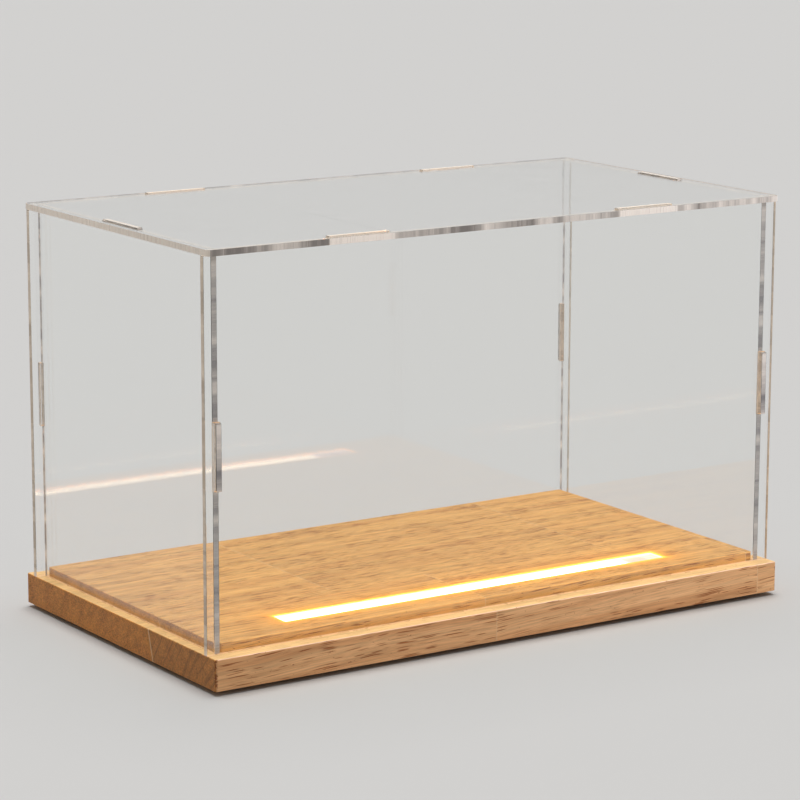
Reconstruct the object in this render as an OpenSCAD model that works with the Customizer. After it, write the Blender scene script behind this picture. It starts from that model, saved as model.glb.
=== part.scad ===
// Display case for a scale model: a machined wooden base with a lit channel along its
// front, and a clear cover of five flat panels that slot together and lift off.
// Millimetres. The front faces -Y, up is +Z, and the feet stand on z = 0.

/* [Base board] */
// Length of the base, left to right
base_l = 220; // [200:1:260]
// Depth of the base, front to back
base_w = 125; // [110:1:160]
// Height of the plinth, up to the ledge that carries the cover
plinth_h = 10; // [10:0.5:16]
// Height of the platform above the ledge
platform_h = 3; // [2:0.5:5]
// Radius of the base's upright corners
base_corner_r = 0.8; // [0.8:0.1:8]
// Radius of the platform's upright corners
platform_corner_r = 0.8; // [0.8:0.1:5]
// Round-over along the top edges of the wood
edge_r = 0.3; // [0.1:0.05:0.35]
// Width of the ledge left in front of the cover and behind it
ledge_w = 5; // [4:0.5:8]
// Gap between the platform and the walls that drop over it
platform_gap = 0.3; // [0.2:0.1:0.8]

/* [Cover] */
// Thickness of the clear sheet
sheet_t = 2; // [1.5:0.5:3]
// Height of the four walls
wall_h = 123; // [60:1:250]
// Length of front and back panel that stands past each side panel
end_margin = 3.2; // [2.5:0.1:6]
// How far the top panel passes the front and back panels
top_overhang = 2; // [1:0.5:4]
// How far the top panel stops short of each end of the base
top_end_gap = 0.3; // [0:0.1:2]
// Radius of the top panel's corners
top_corner_r = 1.5; // [0.5:0.5:10]

/* [Tabs and slots] */
// Length of the six tabs along the walls' top edges
top_tab_l = 22; // [12:1:40]
// How far the top tabs stand out of the top panel
top_tab_proud = 0.4; // [0:0.1:3]
// Height of the side panels' tabs, halfway up the wall
side_tab_h = 21; // [10:0.5:40]
// How far the side panels' tabs stand out of the front and back panels
side_tab_proud = 1; // [0:0.1:3]
// Gap all round a tab in its slot
slot_gap = 0.15; // [0.1:0.05:0.3]

/* [Light] */
// Distance from each end of the base to the channel
channel_inset = 35; // [34:1:60]
// Distance from the front edge of the base to the channel's centre line
channel_setback = 21.5; // [18:0.5:40]
// Width of the channel
channel_w = 8; // [8:0.5:12]
// Depth of the channel below the platform
channel_d = 5; // [4.5:0.1:5]
// How far the light cover lies below the platform
cover_sink = 0.8; // [0.2:0.1:1]
// Spacing of the lamps along the strip
lamp_pitch = 8.3; // [5:0.1:16.6]

/* [Feet] */
// Diameter of each foot
foot_d = 10; // [6:1:10]
// Height of each foot
foot_h = 1.5; // [1:0.5:4]
// Distance of each foot's centre from the ends of the base
foot_inset_x = 10; // [8:1:10]
// Distance of each foot's centre from the front and back of the base
foot_inset_y = 13.5; // [8:0.5:20]

/* [Hidden] */
$fn = 48;
cut = 1; // a cutter runs this far past the face it opens

// levels, all from the bottom of the feet
ledge_z = foot_h + plinth_h;
platform_z = ledge_z + platform_h;
channel_z = platform_z - channel_d;
wall_top_z = ledge_z + wall_h;

// cover
cover_w = base_w - 2 * ledge_w;
inner_w = cover_w - 2 * sheet_t;
inner_l = base_l - 2 * (end_margin + sheet_t);
side_x = inner_l / 2 + sheet_t / 2;
long_y = inner_w / 2 + sheet_t / 2;
tab_x = base_l / 4;
top_tab_reach = sheet_t + top_tab_proud;
side_tab_reach = sheet_t + side_tab_proud;
side_tab_z = ledge_z + wall_h / 2;

// light channel and what lies in it
channel_l = base_l - 2 * channel_inset;
channel_y = channel_setback - base_w / 2;
channel_corner_r = 1;
strip_w = 5;
strip_t = 0.25;
strip_end_gap = 2;
solder_end = 8; // bare length at the right end, where the wires are soldered
lamp_size = [3.5, 2.8, 0.7];
resistor_size = [1.6, 0.8, 0.45];
lamp_first_gap = 5; // from the channel's left end to the first lamp's centre
lamp_first_x = -channel_l / 2 + lamp_first_gap;
lamp_run = channel_l / 2 - solder_end - strip_end_gap - lamp_first_x;
lamp_count = floor(lamp_run / lamp_pitch) + 1;
light_cover_wall = 1;
light_cover_roof = 1.4;
light_cover_gap = 0.1;
light_cover_end = 1.2;
light_cover_r = 0.6;

// underside: one pocket for the power board, a groove for the wires, a plate over both
wire_hole_inset = 4;
wire_hole_d = 5;
wire_x = channel_l / 2 - wire_hole_inset;
groove_w = 5;
groove_h = 4;
plate_t = 2;
plate_l = 46;
plate_r = 3;
plate_gap = 0.25;
plate_front_reach = 9; // how far the plate runs past the wires' hole
plate_front_y = channel_y - plate_front_reach;
rear_wall = 3;
pocket_back_y = base_w / 2 - rear_wall;
pocket_l = 30;
pocket_w = 29.5;
pocket_h = 6;
pocket_corner_r = 1.5;
plate_w = pocket_back_y - plate_front_y;
plate_y = (pocket_back_y + plate_front_y) / 2;
plate_z = foot_h + plate_t;
pocket_roof_z = plate_z + pocket_h;
plate_screw_inset = 4;
screw_head_r = 1.9;
screw_head_h = 1.1;
screw_shank_r = 0.9;
screw_l = 6;
screw_hole_gap = 0.2;
pilot_gap = 0.05;
pilot_spare = 0.5; // depth left past a screw's tip
cross_l = 2;
cross_w = 0.45;
cross_d = 0.7;

// power board, hung from the pocket's roof with its parts facing down
board_l = 28;
board_w = 24;
board_t = 1.2;
board_z = pocket_roof_z - board_t;
board_back_gap = 0.5;
board_back_y = pocket_back_y - board_back_gap;
board_hole_inset = 3;
board_screw_l = 4.2;
board_screw_head_r = 1.8;
board_screw_head_h = 1.2;

// power inlet: the standard 24-contact oval receptacle
inlet_shift = 8.5; // left of the wires' line
inlet_x = wire_x - inlet_shift;
shell_l = 8.94;
shell_h = 3.26;
shell_depth = 7.3;
shell_wall = 0.3;
shell_z = board_z - shell_h / 2;
plug_recess_d = 1;
plug_recess_l = 13;
plug_recess_h = 7;
shell_mouth_y = base_w / 2 - plug_recess_d;
shell_clear = 0.25;
tongue_l = 6.69;
tongue_h = 0.7;
tongue_root = 1;
tongue_setback = 1.2;

// slide switch
switch_shift = 7.5; // right of the wires' line
switch_x = wire_x + switch_shift;
switch_size = [8.6, 3.6, 3.4];
switch_wall = 0.6;
switch_travel = 2;
carriage_size = [4, 1.2, 2];
nub_size = [1.8, 1.5];
nub_slot_gap = [0.5, 0.4];
slide_gap = 0.1;
end_play = 0.05;
finger_recess_l = 9;
finger_recess_h = 5.5;
finger_recess_d = 1;
nub_sink = 0.3; // the nub ends this far inside the rear face
switch_z = board_z - switch_size[2] / 2;

// the wires' route: out of the strip, down the hole, back along the groove, up to the board
wire_r = 0.65;
wire_pitch = [1.6, 2]; // spacing of the two wires across the groove and at the strip
wire_pad_l = 5; // bare end soldered to the strip
wire_pad_x = wire_x - wire_pad_l;
wire_top_bend_r = 1.2;
wire_low_bend_r = 1.8;
wire_run_gap = 2; // from the underside plate to the wires' centre lines
wire_run_z = plate_z + wire_run_gap;
wire_board_inset = 5;
wire_board_y = board_back_y - board_w + wire_board_inset;

// ---------- shared shapes ----------

// Flat plate outline with round corners, centred
module rounded_rect(l, w, r) {
    square([l - 2 * r, w], center = true);
    square([l, w - 2 * r], center = true);
    for (x = [-1, 1], y = [-1, 1])
        translate([x * (l / 2 - r), y * (w / 2 - r)]) circle(r);
}

// Oval outline with half-round ends, centred
module oval(l, h) {
    square([l - h, h], center = true);
    for (x = [-1, 1]) translate([x * (l - h) / 2, 0]) circle(h / 2);
}

// Half of a block's section: flat sides, and its outer top corner rounded over
module eased_half_section(reach, h) {
    square([reach, h - edge_r]);
    square([reach - edge_r, h]);
    translate([reach - edge_r, h - edge_r]) circle(edge_r);
}

module eased_section(reach, h) {
    eased_half_section(reach, h);
    mirror([1, 0]) eased_half_section(reach, h);
}

// Wooden block with round upright corners and a rounded-over top edge
module eased_block(l, w, h, r) {
    rotate([90, 0, 90]) linear_extrude(l - 2 * r, center = true) eased_section(w / 2, h);
    rotate([90, 0, 0]) linear_extrude(w - 2 * r, center = true) eased_section(l / 2, h);
    for (x = [-1, 1], y = [-1, 1])
        translate([x * (l / 2 - r), y * (w / 2 - r), 0]) rotate_extrude() eased_half_section(r, h);
}

// Turns an outline drawn in X and Z into a sheet from y - t to y
module upright_x(y, t) {
    translate([0, y, 0]) rotate([90, 0, 0]) linear_extrude(t) children();
}

// Turns an outline drawn in Y and Z into a sheet from x to x + t
module upright_y(x, t) {
    translate([x, 0, 0]) rotate([90, 0, 90]) linear_extrude(t) children();
}

// ---------- base board ----------

module channel_cut() {
    translate([0, channel_y, channel_z])
        linear_extrude(channel_d + cut) rounded_rect(channel_l, channel_w, channel_corner_r);
    translate([wire_x, channel_y, plate_z]) cylinder(d = wire_hole_d, h = channel_z - plate_z + cut);
}

module underside_cuts() {
    translate([wire_x, plate_y, foot_h - cut])
        linear_extrude(plate_t + cut) rounded_rect(plate_l, plate_w, plate_r);
    translate([wire_x, pocket_back_y - pocket_w / 2, foot_h])
        linear_extrude(plate_t + pocket_h) rounded_rect(pocket_l, pocket_w, pocket_corner_r);
    translate([wire_x - groove_w / 2, channel_y - groove_w / 2, foot_h])
        cube([groove_w, pocket_back_y - channel_y - pocket_w / 2, plate_t + groove_h]);
    at_plate_screws() translate([0, 0, foot_h])
        cylinder(r = screw_shank_r + pilot_gap, h = screw_l + pilot_spare);
    at_board_screws() translate([0, 0, board_z])
        cylinder(r = screw_shank_r + pilot_gap, h = board_screw_l + pilot_spare);
}

module rear_cuts() {
    reach = rear_wall + cut;
    translate([inlet_x, 0, shell_z]) {
        upright_x(base_w / 2 + cut, reach + cut) oval(shell_l + 2 * shell_clear, shell_h + 2 * shell_clear);
        upright_x(base_w / 2 + cut, plug_recess_d + cut) oval(plug_recess_l, plug_recess_h);
    }
    translate([switch_x, 0, switch_z]) {
        upright_x(base_w / 2 + cut, reach + cut)
            square([nub_size[0] + switch_travel, nub_size[1]] + 2 * nub_slot_gap, center = true);
        upright_x(base_w / 2 + cut, finger_recess_d + cut) oval(finger_recess_l, finger_recess_h);
    }
}

module base_board() {
    color("burlywood") difference() {
        translate([0, 0, foot_h]) {
            eased_block(base_l, base_w, plinth_h, base_corner_r);
            eased_block(
                inner_l - 2 * platform_gap, inner_w - 2 * platform_gap,
                plinth_h + platform_h, platform_corner_r
            );
        }
        channel_cut();
        underside_cuts();
        rear_cuts();
    }
}

// ---------- underside plate, screws and feet ----------

module at_plate_screws() {
    for (x = [-1, 1], y = [-1, 1])
        translate([
            wire_x + x * (plate_l / 2 - plate_screw_inset),
            plate_y + y * (plate_w / 2 - plate_screw_inset), 0
        ]) children();
}

module at_board_screws() {
    for (x = [-1, 1])
        translate([
            wire_x + x * (board_l / 2 - board_hole_inset),
            board_back_y - board_w + board_hole_inset, 0
        ]) children();
}

module underside_plate() {
    color("dimgray") difference() {
        translate([wire_x, plate_y, foot_h]) linear_extrude(plate_t)
            rounded_rect(plate_l - 2 * plate_gap, plate_w - 2 * plate_gap, plate_r - plate_gap);
        at_plate_screws() translate([0, 0, foot_h]) {
            translate([0, 0, -cut]) cylinder(r = screw_shank_r + screw_hole_gap, h = plate_t + 2 * cut);
            cylinder(r1 = screw_head_r + pilot_gap, r2 = screw_shank_r + pilot_gap, h = screw_head_h);
        }
    }
}

module cross_recess() {
    for (turn = [0, 90]) rotate(turn)
        translate([-cross_l / 2, -cross_w / 2, -cut]) cube([cross_l, cross_w, cross_d + cut]);
}

module plate_screws() {
    color("silver") at_plate_screws() translate([0, 0, foot_h]) difference() {
        union() {
            cylinder(r1 = screw_head_r, r2 = screw_shank_r, h = screw_head_h);
            cylinder(r = screw_shank_r, h = screw_l);
        }
        cross_recess();
    }
}

module foot(side_x, side_y) {
    color("#26262a") translate([
        side_x * (base_l / 2 - foot_inset_x), side_y * (base_w / 2 - foot_inset_y), foot_h
    ]) mirror([0, 0, 1]) rotate_extrude() eased_half_section(foot_d / 2, foot_h);
}

// ---------- light ----------

module led_board() {
    color("white") translate([
        -channel_l / 2 + strip_end_gap, channel_y - strip_w / 2, channel_z
    ]) cube([channel_l - solder_end - strip_end_gap, strip_w, strip_t]);
}

// Puts a block of this size on the strip at each whole step of the lamps' spacing
module along_strip(first_x, count, size) {
    for (i = [0 : count - 1])
        translate([
            first_x + i * lamp_pitch - size[0] / 2, channel_y - size[1] / 2, channel_z + strip_t
        ]) cube(size);
}

module led_chips() {
    color("lemonchiffon") along_strip(lamp_first_x, lamp_count, lamp_size);
}

// One resistor halfway between each lamp and the next
module led_resistors() {
    color("#202020") along_strip(lamp_first_x + lamp_pitch / 2, lamp_count - 1, resistor_size);
}

module light_cover_section(w, h, r) {
    square([w, 2 * (h - r)], center = true);
    square([w - 2 * r, 2 * h], center = true);
    for (x = [-1, 1]) translate([x * (w / 2 - r), h - r]) circle(r);
}

module light_cover() {
    w = channel_w - 2 * light_cover_gap;
    l = channel_l - 2 * light_cover_gap;
    h = channel_d - cover_sink;
    color("lightyellow") translate([0, channel_y, channel_z]) difference() {
        intersection() {
            rotate([90, 0, 90]) linear_extrude(l, center = true)
                light_cover_section(w, h, light_cover_r);
            linear_extrude(h) rounded_rect(l, w, channel_corner_r);
        }
        translate([
            light_cover_end - l / 2, light_cover_wall - w / 2, -cut
        ]) cube([l - 2 * light_cover_end, w - 2 * light_cover_wall, h - light_cover_roof + cut]);
    }
}

// Quarter bend of a wire: starts at the origin heading +X and turns up to +Z
module bend(r) {
    translate([0, 0, r]) rotate([90, 0, 0]) rotate([0, 0, -90])
        rotate_extrude(angle = 90) translate([r, 0]) circle(wire_r);
}

module straight(length) {
    rotate([0, 90, 0]) cylinder(r = wire_r, h = length);
}

module wire(side, colour) {
    x = wire_x + side * wire_pitch[0] / 2;
    y = channel_y - side * wire_pitch[1] / 2;
    top_z = channel_z + strip_t + wire_r;
    color(colour) {
        translate([wire_pad_x, y, top_z]) straight(x - wire_top_bend_r - wire_pad_x);
        translate([x - wire_top_bend_r, y, top_z]) mirror([0, 0, 1]) bend(wire_top_bend_r);
        translate([x, y, wire_run_z + wire_low_bend_r])
            cylinder(r = wire_r, h = top_z - wire_top_bend_r - wire_run_z - wire_low_bend_r);
        translate([x, y + wire_low_bend_r, wire_run_z]) rotate(-90) bend(wire_low_bend_r);
        translate([x, y + wire_low_bend_r, wire_run_z]) rotate(90)
            straight(wire_board_y - wire_low_bend_r - y - wire_low_bend_r);
        translate([x, wire_board_y - wire_low_bend_r, wire_run_z]) rotate(90) bend(wire_low_bend_r);
        translate([x, wire_board_y, wire_run_z + wire_low_bend_r])
            cylinder(r = wire_r, h = board_z - wire_run_z - wire_low_bend_r);
    }
}

// ---------- power board, inlet and switch ----------

module power_board() {
    color("darkgreen") difference() {
        translate([wire_x - board_l / 2, board_back_y - board_w, board_z]) cube([board_l, board_w, board_t]);
        at_board_screws() translate([0, 0, board_z - cut])
            cylinder(r = screw_shank_r + screw_hole_gap, h = board_t + 2 * cut);
    }
}

module board_screws() {
    color("silver") at_board_screws() translate([0, 0, board_z]) difference() {
        union() {
            translate([0, 0, -board_screw_head_h]) cylinder(r = board_screw_head_r, h = board_screw_head_h);
            cylinder(r = screw_shank_r, h = board_screw_l);
        }
        translate([0, 0, -board_screw_head_h]) cross_recess();
    }
}

module usb_shell() {
    color("silver") translate([inlet_x, 0, shell_z]) difference() {
        upright_x(shell_mouth_y, shell_depth) oval(shell_l, shell_h);
        upright_x(shell_mouth_y + cut, shell_depth - shell_wall + cut)
            oval(shell_l - 2 * shell_wall, shell_h - 2 * shell_wall);
    }
}

module usb_tongue() {
    back_y = shell_mouth_y - shell_depth + shell_wall;
    color("#202020") translate([inlet_x, 0, shell_z]) {
        upright_x(back_y + tongue_root, tongue_root)
            oval(shell_l - 2 * shell_wall, shell_h - 2 * shell_wall);
        upright_x(shell_mouth_y - tongue_setback, shell_mouth_y - tongue_setback - back_y)
            square([tongue_l, tongue_h], center = true);
    }
}

module switch_body() {
    travel = [switch_travel, 0, 0];
    play = 2 * slide_gap * [1, 1, 1];
    color("#1c1c1e") translate([switch_x, board_back_y, switch_z]) difference() {
        translate([0, -switch_size[1] / 2, 0]) cube(switch_size, center = true);
        translate([0, -carriage_size[1] / 2 - slide_gap - switch_wall, 0])
            cube(carriage_size + travel + play, center = true);
        cube([nub_size[0], 2 * (switch_wall + cut), nub_size[1]] + travel + 2 * play, center = true);
    }
}

// Shown pushed to the left, with the light on
module switch_slider() {
    carriage_y = board_back_y - switch_wall - slide_gap - carriage_size[1];
    nub_end_y = base_w / 2 - nub_sink;
    color("#2a2a2c") translate([switch_x - switch_travel / 2, 0, switch_z]) {
        translate([-carriage_size[0] / 2, carriage_y + end_play, -carriage_size[2] / 2])
            cube(carriage_size - [0, end_play, 0]);
        translate([-nub_size[0] / 2, carriage_y + carriage_size[1] / 2, -nub_size[1] / 2])
            cube([nub_size[0], nub_end_y - carriage_y - carriage_size[1] / 2, nub_size[1]]);
    }
}

// ---------- cover ----------

// Outline of the front and back panels: two top tabs, and one slot for each side panel's tab
module long_panel_outline() {
    difference() {
        union() {
            translate([-base_l / 2, ledge_z]) square([base_l, wall_h]);
            for (x = [-tab_x, tab_x])
                translate([x - top_tab_l / 2, wall_top_z - cut]) square([top_tab_l, top_tab_reach + cut]);
        }
        for (x = [-side_x, side_x]) translate([x, side_tab_z])
            square([sheet_t + 2 * slot_gap, side_tab_h + 2 * slot_gap], center = true);
    }
}

// Outline of the side panels: one top tab, and a tab at each end halfway up
module side_panel_outline() {
    translate([-inner_w / 2, ledge_z]) square([inner_w, wall_h]);
    translate([-top_tab_l / 2, wall_top_z - cut]) square([top_tab_l, top_tab_reach + cut]);
    translate([0, side_tab_z]) square([inner_w + 2 * side_tab_reach, side_tab_h], center = true);
}

module long_panel(y) {
    color("gainsboro", 0.35) upright_x(y, sheet_t) long_panel_outline();
}

module side_panel(x) {
    color("gainsboro", 0.35) upright_y(x, sheet_t) side_panel_outline();
}

module front_panel() {
    long_panel(-inner_w / 2);
}

module back_panel() {
    long_panel(inner_w / 2 + sheet_t);
}

module left_panel() {
    side_panel(-inner_l / 2 - sheet_t);
}

module right_panel() {
    side_panel(inner_l / 2);
}

module top_panel() {
    color("gainsboro", 0.35) translate([0, 0, wall_top_z]) linear_extrude(sheet_t) difference() {
        rounded_rect(base_l - 2 * top_end_gap, cover_w + 2 * top_overhang, top_corner_r);
        for (x = [-tab_x, tab_x], y = [-long_y, long_y]) translate([x, y])
            square([top_tab_l + 2 * slot_gap, sheet_t + 2 * slot_gap], center = true);
        for (x = [-side_x, side_x]) translate([x, 0])
            square([sheet_t + 2 * slot_gap, top_tab_l + 2 * slot_gap], center = true);
    }
}

// ---------- assembly ----------

base_board();
underside_plate();
plate_screws();
foot(-1, -1);  // foot_front_left
foot(1, -1);  // foot_front_right
foot(-1, 1);  // foot_back_left
foot(1, 1);  // foot_back_right
led_board();
led_chips();
led_resistors();
light_cover();
wire(1, "red");  // wire_red
wire(-1, "#202020");  // wire_black
power_board();
board_screws();
usb_shell();
usb_tongue();
switch_body();
switch_slider();
front_panel();
back_panel();
left_panel();
right_panel();
top_panel();
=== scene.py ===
from math import pi, radians

import bmesh
import bpy
import numpy as np
from mathutils import Matrix, Vector


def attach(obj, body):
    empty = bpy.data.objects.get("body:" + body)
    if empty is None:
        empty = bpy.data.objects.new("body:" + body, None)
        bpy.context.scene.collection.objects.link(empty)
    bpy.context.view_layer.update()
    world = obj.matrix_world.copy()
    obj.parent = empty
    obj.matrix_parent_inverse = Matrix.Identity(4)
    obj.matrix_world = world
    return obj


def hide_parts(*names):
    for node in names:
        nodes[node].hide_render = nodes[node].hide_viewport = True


# Looks of a display case: oiled wood, clear sheet with laser-cut edges, and the lit channel.
# Meshes, lamps and the camera are in metres, and patterns are laid out in millimetres.
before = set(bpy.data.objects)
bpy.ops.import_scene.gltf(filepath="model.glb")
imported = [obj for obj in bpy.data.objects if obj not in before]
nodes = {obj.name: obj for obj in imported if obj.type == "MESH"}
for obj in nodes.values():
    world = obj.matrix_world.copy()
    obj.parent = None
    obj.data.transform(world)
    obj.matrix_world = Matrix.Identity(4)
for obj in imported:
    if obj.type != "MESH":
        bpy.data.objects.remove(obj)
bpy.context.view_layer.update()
mm = 0.001
black = (0.0, 0.0, 0.0, 1.0)
white = (1.0, 1.0, 1.0, 1.0)
print("frame loaded:", len(nodes), "nodes")


# camera
camera = {
    "place": (-0.5770, -0.8692, 0.2829),
    "yaw": 33.486,  # degrees to the right of +Y
    "pitch": 11.588,  # degrees below level
    "roll": 0.145,
    "focalPixels": 3194.25,
    "framePixels": 800,
    "sensor": 36.0,
    "clipEnd": 60.0,
}


def makeCamera(look):
    data = bpy.data.cameras.new("viewCamera")
    data.sensor_width = look["sensor"]
    data.lens = look["focalPixels"] * look["sensor"] / look["framePixels"]
    data.clip_end = look["clipEnd"]
    viewer = bpy.data.objects.new("viewCamera", data)
    turn = Matrix.Rotation(-radians(look["yaw"]), 4, "Z")
    tilt = Matrix.Rotation(pi / 2 - radians(look["pitch"]), 4, "X")
    roll = Matrix.Rotation(radians(look["roll"]), 4, "Z")
    viewer.matrix_world = Matrix.Translation(look["place"]) @ turn @ tilt @ roll
    bpy.context.scene.collection.objects.link(viewer)
    bpy.context.scene.camera = viewer


makeCamera(camera)
print("camera placed")


# helpers for node trees
def tone(red, green, blue):
    # 8-bit display values to the linear colour that a socket takes
    values = np.array([red, green, blue]) / 255
    linear = np.where(values <= 0.04045, values / 12.92, ((values + 0.055) / 1.055) ** 2.4)
    return (*linear.tolist(), 1.0)


def addNode(tree, kind, inputs=None, **settings):
    node = tree.nodes.new("ShaderNode" + kind)
    for name, value in settings.items():
        setattr(node, name, value)
    for name, value in (inputs or {}).items():
        if isinstance(value, bpy.types.NodeSocket):
            tree.links.new(value, node.inputs[name])
        else:
            node.inputs[name].default_value = value
    return node


def calc(tree, operation, *values):
    return addNode(tree, "Math", dict(enumerate(values)), operation=operation).outputs[0]


def calcVector(tree, operation, *values):
    return addNode(tree, "VectorMath", dict(enumerate(values)), operation=operation).outputs[0]


def lengthOf(tree, vector):
    return addNode(tree, "VectorMath", {0: vector}, operation="LENGTH").outputs["Value"]


def joined(tree, x, y, z):
    return addNode(tree, "CombineXYZ", {0: x, 1: y, 2: z}).outputs[0]


def split(tree, vector):
    return addNode(tree, "SeparateXYZ", {0: vector}).outputs


def ramp(tree, value, low, high, toLow=0.0, toHigh=1.0):
    # smooth step of value between low and high
    inputs = {"Value": value, "From Min": low, "From Max": high, "To Min": toLow, "To Max": toHigh}
    return addNode(tree, "MapRange", inputs, interpolation_type="SMOOTHSTEP").outputs["Result"]


def apart(tree, value, other):
    return calc(tree, "ABSOLUTE", calc(tree, "SUBTRACT", value, other))


def near(tree, value, centre, half, soft=0.04):
    # 1 within half of the centre
    return ramp(tree, apart(tree, value, centre), half + soft, half)


def beyond(tree, value, half):
    # how far the value lies past half on either side of zero, and less than zero inside that
    return calc(tree, "SUBTRACT", calc(tree, "ABSOLUTE", value), half)


def outOfOblong(tree, x, y, middleY, halfX, halfY):
    # distance out from an oblong that lies along X, and 0 inside it
    out = joined(tree, beyond(tree, x, halfX), beyond(tree, calc(tree, "SUBTRACT", y, middleY), halfY), 0.0)
    return lengthOf(tree, calcVector(tree, "MAXIMUM", out, (0.0, 0.0, 0.0)))


def toWhole(tree, value):
    # distance to the nearest whole number
    return apart(tree, value, calc(tree, "ROUND", value))


def repeated(tree, value, start, pitch):
    # place within a repeat, from -pitch / 2 to pitch / 2
    turns = calc(tree, "DIVIDE", calc(tree, "SUBTRACT", value, start), pitch)
    return calc(tree, "MULTIPLY", calc(tree, "SUBTRACT", turns, calc(tree, "ROUND", turns)), pitch)


def fading(tree, away, reach):
    # 1 falling towards 0, to about a third at the reach
    return calc(tree, "EXPONENT", calc(tree, "DIVIDE", away, -reach))


def mixTones(tree, share, first, second, blend="MIX"):
    node = addNode(tree, "Mix", {0: share, 6: first, 7: second}, data_type="RGBA", blend_type=blend)
    return node.outputs[2]


def shaded(tree, colour, level):
    # the colour made evenly darker or paler by the level
    return mixTones(tree, 1.0, colour, joined(tree, level, level, level), "MULTIPLY")


def stained(tree, share, colour, stain):
    # the colour multiplied by the stain, as far as the share says
    return mixTones(tree, share, colour, mixTones(tree, 1.0, colour, stain, "MULTIPLY"))


def noise(tree, vector, scale, detail=2.0, roughness=0.5, output="Fac"):
    inputs = {"Vector": vector, "Scale": scale, "Detail": detail, "Roughness": roughness}
    return addNode(tree, "TexNoise", inputs).outputs[output]


def stretchedNoise(tree, vector, stretch, detail=2.0, roughness=0.5):
    return noise(tree, calcVector(tree, "MULTIPLY", vector, stretch), 1.0, detail, roughness)


def objectPlace(tree):
    return addNode(tree, "TexCoord").outputs["Object"]


def inMm(tree, place):
    return [calc(tree, "DIVIDE", part, mm) for part in split(tree, place)]


def newGroup(name, inputs, outputs):
    # inputs are name: (socket kind, default), outputs are name: socket kind
    tree = bpy.data.node_groups.new(name, "ShaderNodeTree")
    for label, (kind, value) in inputs.items():
        socket = tree.interface.new_socket(label, in_out="INPUT", socket_type="NodeSocket" + kind)
        if value is not None:
            socket.default_value = value
    for label, kind in outputs.items():
        tree.interface.new_socket(label, in_out="OUTPUT", socket_type="NodeSocket" + kind)
    return tree, tree.nodes.new("NodeGroupInput").outputs


def closeGroup(tree, **results):
    end = tree.nodes.new("NodeGroupOutput")
    for label, socket in results.items():
        tree.links.new(socket, end.inputs[label])
    return tree


def useGroup(tree, group, **inputs):
    return addNode(tree, "Group", inputs, node_tree=group).outputs


def newMaterial(name, **values):
    material = bpy.data.materials.new(name)
    material.use_nodes = True
    tree = material.node_tree
    shader = tree.nodes["Principled BSDF"]
    for label, value in values.items():
        shader.inputs[label.replace("_", " ")].default_value = value
    return material, tree, shader


def feed(tree, shader, **sockets):
    for label, socket in sockets.items():
        tree.links.new(socket, shader.inputs[label.replace("_", " ")])


def addBump(tree, shader, height, distance, strength=1.0):
    bump = addNode(tree, "Bump", {"Height": height, "Distance": distance, "Strength": strength})
    tree.links.new(bump.outputs[0], shader.inputs["Normal"])


def dress(material, *names):
    for name in names:
        for slot in nodes[name].material_slots:
            slot.material = material


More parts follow.
